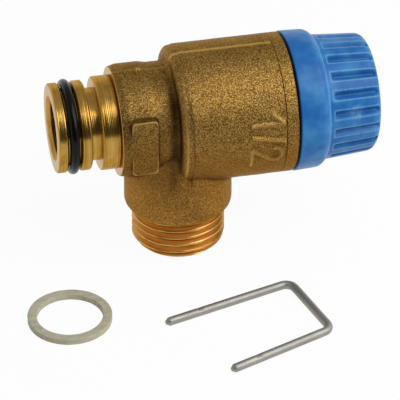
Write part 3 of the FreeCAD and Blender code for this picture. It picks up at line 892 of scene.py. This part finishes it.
def clip_side(leg, side):
    """Middle line of half the bridge, a bend and a leg, as (point, distance to the tip)."""
    length, opening = leg
    half = CLIP_GROOVE_RADIUS + CLIP_CLEARANCE + CLIP_WIRE_RADIUS
    setback = CLIP_BEND_RADIUS * math.tan(math.radians(90 - opening) / 2)
    lean = math.radians(opening)
    toward_tip = Vector((math.cos(lean), side * math.sin(lean), 0))
    corner = Vector((0, side * half, 0))
    centre = Vector((CLIP_BEND_RADIUS, side * (half - setback), 0))
    line = [(Vector((0, side * (half - setback), 0)), length)]
    bend_steps = 8
    for step in range(1, bend_steps):
        angle = math.pi - math.radians(90 - opening) * step / bend_steps
        out = Vector((math.cos(angle), side * math.sin(angle), 0))
        line.append((centre + out * CLIP_BEND_RADIUS, length))
    leg_steps = 120
    for step in range(leg_steps + 1):
        run = setback + (length - setback) * step / leg_steps
        line.append((corner + toward_tip * run, length - run))
    return line


def clip_section(left, angle, flat):
    """Radius of the wire: a bevelled tip and a small pressed flat on top of each leg."""
    share, reach = CLIP_TIP
    tip = CLIP_WIRE_RADIUS * (share + (1 - share) * smoothstep(0, reach, left))
    flat_end = flat + CLIP_FLAT_LENGTH
    along = smoothstep(flat, flat + 0.4, left) * (1 - smoothstep(flat_end, flat_end + 0.5, left))
    facing = smoothstep(0.55, 0.95, math.cos(angle))
    return tip - CLIP_FLAT_DEPTH * along * facing


def clip_wire():
    path = clip_side(CLIP_LONG_LEG, -1)[::-1] + clip_side(CLIP_SHORT_LEG, 1)
    turn = Matrix.Rotation(math.radians(CLIP_HEADING), 3, "Z")
    middle = Vector((*CLIP_PLACE, CLIP_WIRE_RADIUS))
    upward = Vector((0, 0, 1))
    rings = []
    for index, (point, left) in enumerate(path):
        before = path[max(index - 1, 0)][0]
        after = path[min(index + 1, len(path) - 1)][0]
        out = (after - before).normalized().cross(upward)
        flat = CLIP_FLATS[0] if point.y < 0 else CLIP_FLATS[1]
        ring = []
        for angle in angles(28):
            radius = clip_section(left, angle, flat)
            spot = point + (out * math.sin(angle) + upward * math.cos(angle)) * radius
            ring.append(turn @ spot + middle)
        rings.append(ring)
    return smooth_shade(skin("clip_wire", rings, False), 50)


# ======== Materials ========

class Nodes:
    """Adds nodes to a tree. Each value is another node's output or a constant."""

    def __init__(self, tree):
        self.nodes = tree.nodes
        self.links = tree.links

    def feed(self, value, socket):
        if isinstance(value, bpy.types.NodeSocket):
            self.links.new(value, socket)
        elif isinstance(value, tuple):
            socket.default_value = (*value, 1)
        else:
            socket.default_value = value

    def math(self, operation, first, second=0.0, third=0.0):
        node = self.nodes.new("ShaderNodeMath")
        node.operation = operation
        for value, socket in zip((first, second, third), node.inputs):
            self.feed(value, socket)
        return node.outputs["Value"]

    def any_of(self, first, *others):
        """1 where any of the values is 1."""
        for other in others:
            first = self.math("MAXIMUM", first, other)
        return first

    def axes(self, place):
        node = self.nodes.new("ShaderNodeSeparateXYZ")
        self.links.new(place, node.inputs["Vector"])
        return node.outputs

    def scaled(self, value, least, most):
        """least to most as value goes from 0 to 1."""
        node = self.nodes.new("ShaderNodeMapRange")
        node.inputs["To Min"].default_value = least
        node.inputs["To Max"].default_value = most
        self.links.new(value, node.inputs["Value"])
        return node.outputs["Result"]

    def span(self, value, start, end, least=0.0, most=1.0):
        """least to most, in an S curve, as value goes from start to end."""
        result = self.scaled(value, least, most)
        result.node.interpolation_type = "SMOOTHSTEP"
        result.node.inputs["From Min"].default_value = start
        result.node.inputs["From Max"].default_value = end
        return result


class Finish(Nodes):
    """A procedural material in the making: its nodes read the object's own coordinates."""

    def __init__(self, name, roughness, metallic=0.0, rim=(1, 1, 1)):
        self.material = bpy.data.materials.new(name)
        self.material.use_nodes = True
        super().__init__(self.material.node_tree)
        self.shader = self.nodes["Principled BSDF"]
        self.shader.inputs["Roughness"].default_value = roughness
        self.shader.inputs["Metallic"].default_value = metallic
        self.shader.inputs["Specular Tint"].default_value = (*rim, 1)
        coordinates = self.nodes.new("ShaderNodeTexCoord").outputs
        self.place = coordinates["Object"]
        self.facing = coordinates["Normal"]

    def stretched(self, scale, offset=(0, 0, 0)):
        node = self.nodes.new("ShaderNodeMapping")
        node.inputs["Scale"].default_value = scale
        node.inputs["Location"].default_value = offset
        self.links.new(self.place, node.inputs["Vector"])
        return node.outputs["Vector"]

    def attribute(self, name):
        node = self.nodes.new("ShaderNodeAttribute")
        node.attribute_name = name
        return node.outputs["Fac"]

    def noise(self, size, detail, place=None, roughness=0.5):
        """Noise whose features are about size millimetres across."""
        node = self.nodes.new("ShaderNodeTexNoise")
        node.inputs["Scale"].default_value = 1 / (size * MM)
        node.inputs["Detail"].default_value = detail
        node.inputs["Roughness"].default_value = roughness
        self.links.new(place or self.place, node.inputs["Vector"])
        return node.outputs["Fac"]

    def ramp(self, value, positions, colours):
        """Colours that value meets at its positions."""
        node = self.nodes.new("ShaderNodeValToRGB")
        elements = node.color_ramp.elements
        while len(elements) < len(positions):
            elements.new(0.5)
        for element, position, colour in zip(elements, positions, colours):
            element.position = position
            element.color = (*colour, 1)
        self.links.new(value, node.inputs["Fac"])
        return node.outputs["Color"]

    def mix(self, share, first, second):
        """Mixes two colours."""
        node = self.nodes.new("ShaderNodeMix")
        node.data_type = "RGBA"
        colours = [socket for socket in node.inputs if socket.type == "RGBA"]
        for value, socket in zip((share, first, second), (node.inputs["Factor"], *colours)):
            self.feed(value, socket)
        return next(socket for socket in node.outputs if socket.type == "RGBA")

    def colour(self, value):
        self.feed(value, self.shader.inputs["Base Color"])

    def roughness(self, value, least, most):
        self.feed(self.scaled(value, least, most), self.shader.inputs["Roughness"])

    def gloss(self, level):
        self.feed(level, self.shader.inputs["Specular IOR Level"])

    def bump(self, height, depth, strength=1.0):
        """Relief of depth millimetres over any relief that the shader has already."""
        node = self.nodes.new("ShaderNodeBump")
        node.inputs["Strength"].default_value = strength
        node.inputs["Distance"].default_value = depth * MM
        self.links.new(height, node.inputs["Height"])
        linked = self.shader.inputs["Normal"].links
        if linked:
            self.links.new(linked[0].from_socket, node.inputs["Normal"])
        self.links.new(node.outputs["Normal"], self.shader.inputs["Normal"])


def blasted(finish, grain):
    """Golden brown with dark pits and bright specks, copper-toned low down with its specks dulled
    there as painted shade, and paler on the stem.
    """
    height = finish.axes(finish.place)["Z"]
    golden, shaded_low, pale = (
        finish.ramp(grain, GRAIN_STOPS, tones) for tones in (GOLDEN, COPPERY_SHADED, PALE))
    tone = finish.mix(finish.span(height, *COPPERY_BELOW), golden, shaded_low)
    return finish.mix(finish.span(height, *PALE_BELOW), tone, pale)


def grained(name):
    """Brass with the forging's shot-blasted grain, and that grain."""
    finish = Finish(name, 0.45, 1.0, BRASS_RIM)
    grain = finish.noise(GRAIN_SIZE, 3.0, roughness=0.65)
    finish.roughness(grain, 0.46, 0.32)
    finish.bump(grain, GRAIN_DEPTH)
    return finish, grain


def forged_brass():
    """Shot-blasted forging, stained, with painted shade in its corners, round the shoulder and on
    the neck, and edges lighter with wear and a painted highlight.
    """
    finish, grain = grained("forged_brass")
    patches = finish.noise(6.0, 3.0)
    stained = finish.span(finish.noise(9.0, 2.0), 0.46, 0.66)
    tone = finish.mix(finish.math("MULTIPLY", stained, 0.22), blasted(finish, grain), STAIN)
    along, _, height = finish.axes(finish.place)
    # Painted shade on the neck, where the shoulder's shadow falls.
    neck_shade = finish.math(
        "MULTIPLY", finish.span(along, *NECK_END), finish.span(height, *NECK_FOOT))
    tone = finish.mix(finish.math("MULTIPLY", neck_shade, 0.2), tone, NECK_PAINTED_SHADE)
    proud = finish.math("MULTIPLY_ADD", patches, 0.2, finish.attribute("proud"))
    # Painted shade in the concave corners and round the shoulder, from the proud attribute.
    tone = finish.mix(finish.span(proud, 0.10, -0.20), tone, PAINTED_CORNER_SHADE)
    # Convex edges lighter: wear and a painted highlight.
    edges = finish.math("MULTIPLY", finish.span(proud, 0.21, 0.42), 0.7)
    tone = finish.mix(edges, tone, WORN_EDGE_HIGHLIGHT)
    trimmed = finish.math("MULTIPLY", finish.attribute("trimmed"), 0.8)
    finish.colour(finish.mix(trimmed, tone, TRIMMED_BRASS))
    finish.bump(patches, 0.2, 0.3)
    return finish.material


def bonnet_brass():
    """The bonnet's ring has the forging's finish without its corners."""
    finish, grain = grained("bonnet_brass")
    finish.colour(blasted(finish, grain))
    return finish.material


def turned_brass(name, base, dark, face_reflection, roughness, axis):
    """Lathe-turned brass: fine rings about its axis, and a pale painted reflection on faces
    square to it.
    """
    finish = Finish(name, roughness, 1.0, BRASS_RIM)
    along = {"X": (1, RING_STRETCH, RING_STRETCH), "Z": (RING_STRETCH, RING_STRETCH, 1)}[axis]
    rings = finish.noise(0.3, 4.0, finish.stretched(along))
    tarnish = finish.noise(2.6, 4.0)
    tone = finish.mix(finish.span(rings, 0.35, 0.7), base, dark)
    tone = finish.mix(finish.span(tarnish, 0.45, 0.8), tone, dark)
    square = finish.math("ABSOLUTE", finish.axes(finish.facing)[axis])
    # Faces square to the axis take the painted reflection.
    finish.colour(finish.mix(finish.span(square, 0.8, 0.95), tone, face_reflection))
    finish.roughness(tarnish, roughness * 0.85, roughness * 1.3)
    finish.bump(rings, RING_DEPTH)
    return finish.material


def black_rubber():
    finish = Finish("black_rubber", 0.3)
    mottle = finish.noise(0.6, 3.0)
    finish.colour(finish.mix(mottle, *RUBBER))
    finish.roughness(mottle, 0.18, 0.27)
    finish.bump(mottle, 0.01, 0.4)
    finish.gloss(0.16)
    return finish.material


def steel(name, base, roughness):
    """Steel with faint drawn patches, down to four fifths of its colour."""
    finish = Finish(name, roughness, 1.0)
    drawn = finish.noise(2.6, 2.0)
    finish.colour(finish.mix(drawn, base, tuple(0.8 * value for value in base)))
    finish.roughness(drawn, roughness * 0.9, roughness * 1.1)
    return finish.material


def scuff(finish):
    """1 in the light scuff on the grip's near side."""
    from_middle = finish.stretched((1, 1, 1), tuple(-value for value in SCUFF_PLACE))
    x, y, z = finish.axes(from_middle)
    reach = finish.math("ADD", finish.math("POWER", x, 2), finish.math("POWER", z, 2))
    reach = finish.math("SQRT", finish.math("ADD", reach, finish.math("POWER", y, 2)))
    patch = finish.math("SUBTRACT", 1, finish.span(reach, *SCUFF_REACH))
    return finish.math("MULTIPLY", patch, finish.span(finish.noise(0.9, 4.0), 0.3, 0.7))


def blue_plastic():
    """Satin moulded plastic, hazy in patches, with painted shade in the flutes, edges lighter
    with wear and a painted highlight, and one light scuff.
    """
    finish = Finish("blue_plastic", 0.34)
    haze = finish.noise(4.5, 4.0)
    fine = finish.noise(0.5, 2.0)
    body = finish.mix(finish.span(haze, 0.36, 0.72), BLUE, BLUE_HAZE)
    rim_wear_highlight_and_flute_shade = finish.attribute("rim_wear_highlight_and_flute_shade")
    # Painted shade in the flutes' floors.
    flute_shade = finish.math("MULTIPLY", finish.span(rim_wear_highlight_and_flute_shade, -0.05, -0.5), 0.3)
    body = finish.mix(flute_shade, body, BLUE_FLUTE_SHADE)
    # Edges lighter with wear and a painted highlight.
    rim_wear_and_sheen = finish.math(
        "MULTIPLY", finish.span(rim_wear_highlight_and_flute_shade, 0.0, 1.0), finish.span(fine, 0.1, 0.6))
    body = finish.mix(finish.math("MULTIPLY", rim_wear_and_sheen, 0.48), body, BLUE_RIM_WEAR_HIGHLIGHT)
    scuffed = finish.math("MULTIPLY", scuff(finish), 0.6)
    finish.colour(finish.mix(scuffed, body, BLUE_SCUFFED))
    finish.roughness(haze, 0.28, 0.40)
    finish.bump(fine, 0.010, 0.5)
    finish.gloss(0.21)
    return finish.material


def vulcanised_fibre():
    """Grey-cream fibre board with faint rolled streaks and a few dark marks."""
    finish = Finish("vulcanised_fibre", 0.6)
    fibres = finish.noise(0.9, 5.0, finish.stretched((0.35, 1.2, 1)))
    marks = finish.noise(1.6, 6.0, finish.stretched((2.4, 0.6, 1)))
    board = finish.ramp(fibres, (0.3, 0.7), FIBRE)
    finish.colour(finish.mix(finish.span(marks, 0.62, 0.72), board, FIBRE_MARK))
    finish.bump(fibres, 0.05, 0.5)
    finish.gloss(0.3)
    return finish.material


# ======== Stage ========

def floor():
    """Pale floor that catches soft shadows, and looks almost white to the camera."""
    reach = FLOOR_REACH
    corners = [(-reach, -reach, 0), (reach, -reach, 0), (reach, reach, 0), (-reach, reach, 0)]
    obj = mesh_object("floor", corners, [(0, 1, 2, 3)])
    obj.location.z = -FLOOR_DROP
    material = bpy.data.materials.new("pale_floor")
    material.use_nodes = True
    tree = Nodes(material.node_tree)
    surface = tree.nodes["Principled BSDF"]
    surface.inputs["Base Color"].default_value = (0.92, 0.92, 0.92, 1)
    surface.inputs["Roughness"].default_value = 0.9
    rays = tree.nodes.new("ShaderNodeLightPath").outputs
    seen = tree.any_of(
        rays["Is Camera Ray"], rays["Is Glossy Ray"], rays["Is Transmission Ray"])
    mix = tree.nodes.new("ShaderNodeMixShader")
    glow = tree.nodes.new("ShaderNodeEmission")
    tree.feed(tree.math("MULTIPLY", seen, FLOOR_GLOW), mix.inputs["Fac"])
    tree.feed(surface.outputs[0], mix.inputs[1])
    tree.feed(glow.outputs[0], mix.inputs[2])
    tree.feed(mix.outputs[0], tree.nodes["Material Output"].inputs["Surface"])
    obj.data.materials.append(material)


def world():
    """White backdrop, with less fill light on matt surfaces and some dimmer reflections."""
    made = bpy.data.worlds.new("studio")
    bpy.context.scene.world = made
    made.use_nodes = True
    tree = Nodes(made.node_tree)
    rays = tree.nodes.new("ShaderNodeLightPath").outputs
    seen = tree.any_of(
        rays["Is Camera Ray"], rays["Is Transmission Ray"], rays["Is Glossy Ray"])
    background = tree.nodes["Background"]
    tree.feed(reflected(tree, rays["Is Glossy Ray"]), background.inputs["Color"])
    tree.feed(tree.scaled(seen, WORLD_FILL, 1.0), background.inputs["Strength"])


def reflected(tree, glossy):
    """White, but a grey ceiling and a dark room in front where glossy is 1."""
    direction = tree.nodes.new("ShaderNodeTexCoord").outputs["Generated"]
    ahead = tree.nodes.new("ShaderNodeVectorMath")
    ahead.operation = "DOT_PRODUCT"
    tree.feed(direction, ahead.inputs[0])
    ahead.inputs[1].default_value = ROOM_DIRECTION
    front = tree.span(ahead.outputs["Value"], *ROOM_EDGE)
    lift = tree.math("MULTIPLY", tree.axes(direction)["Z"], glossy)
    shade = tree.nodes.new("ShaderNodeMix")
    tree.feed(tree.math("MULTIPLY", front, glossy), shade.inputs["Factor"])
    tree.feed(tree.span(lift, *CEILING_EDGE, 1.0, CEILING), shade.inputs["A"])
    tree.feed(ROOM, shade.inputs["B"])
    return shade.outputs["Result"]


def lamp():
    light = bpy.data.lights.new("key", "AREA")
    light.size = LAMP_SIZE
    light.energy = LAMP_POWER
    obj = linked("key", light)
    obj.location = LAMP_PLACE
    aim = Vector(LAMP_AIM) - Vector(LAMP_PLACE)
    obj.rotation_euler = aim.to_track_quat("-Z", "Y").to_euler()


def camera():
    """Camera to the left of the front and above it, far off with a long lens."""
    azimuth = math.radians(CAMERA_AZIMUTH)
    elevation = math.radians(CAMERA_ELEVATION)
    back = Vector((
        math.sin(azimuth) * math.cos(elevation),
        -math.cos(azimuth) * math.cos(elevation),
        math.sin(elevation),
    ))
    data = bpy.data.cameras.new("camera")
    data.lens = CAMERA_LENS
    data.sensor_width = CAMERA_SENSOR
    obj = linked("camera", data)
    obj.location = (Vector(CAMERA_AIM) + back * CAMERA_DISTANCE) * MM
    obj.rotation_euler = back.to_track_quat("Z", "Y").to_euler()
    bpy.context.scene.camera = obj


def stage():
    bpy.context.scene.view_settings.view_transform = "Standard"
    camera()
    floor()
    world()
    lamp()


# ======== The scene ========

def dress():
    cast = forged_brass()
    bright = turned_brass("turned_brass", TURNED, TURNED_DARK, TURNED_FACE_REFLECTION, 0.21, "X")
    # The spigot's brass, redder as a painted reflection.
    thread_painted_brass = turned_brass("threaded_brass_painted_orange", THREAD_PAINTED_ORANGE, THREAD_PAINTED_ORANGE_DARK, THREAD_PAINTED_ORANGE, 0.30, "Z")
    rubber = black_rubber()
    blue = blue_plastic()
    wire = steel("clip_steel", CLIP_STEEL, 0.55)
    spring_wire = steel("spring_wire", SPRING_STEEL, 0.3)
    plated = steel("plated_steel", PLATED_STEEL, 0.28)
    fibre = vulcanised_fibre()

    place(body_casting(), "valve", "forged_brass", cast, "valve_body")
    place(inlet_spigot(), "valve", "turned_brass", bright, "valve_body")
    place(outlet_thread(), "valve", "turned_brass", thread_painted_brass, "valve_body")
    place(o_ring(), "valve", "black_rubber", rubber, "inlet_o_ring")
    place(knob_shell(), "knob_group", "blue_plastic", blue, "knob")
    place(knob_lugs(), "knob_group", "blue_plastic", blue, "knob")
    place(cap_disc(), "knob_group", "blue_plastic", blue, "knob_cap")
    place(fibre_ring(), "loose_washer", "vulcanised_fibre", fibre, "fibre_washer")
    place(clip_wire(), "loose_clip", "steel", wire, "retaining_clip")

    kept = {
        "bonnet": bonnet_brass(), "slip_ring": bright, "diaphragm": rubber,
        "disc_holder": bright, "seat_disc": rubber, "seat_disc_washer": plated,
        "seat_disc_screw": plated, "backing_washer": plated, "spring_plate": plated,
        "stem": bright, "spring": spring_wire, "spring_adjuster": bright,
        "knob_washer": plated, "stem_nut": plated,
    }
    for node, material in kept.items():
        mesh = frame["nodes"][node].data
        mesh.materials.clear()
        mesh.materials.append(material)


stage()
dress()
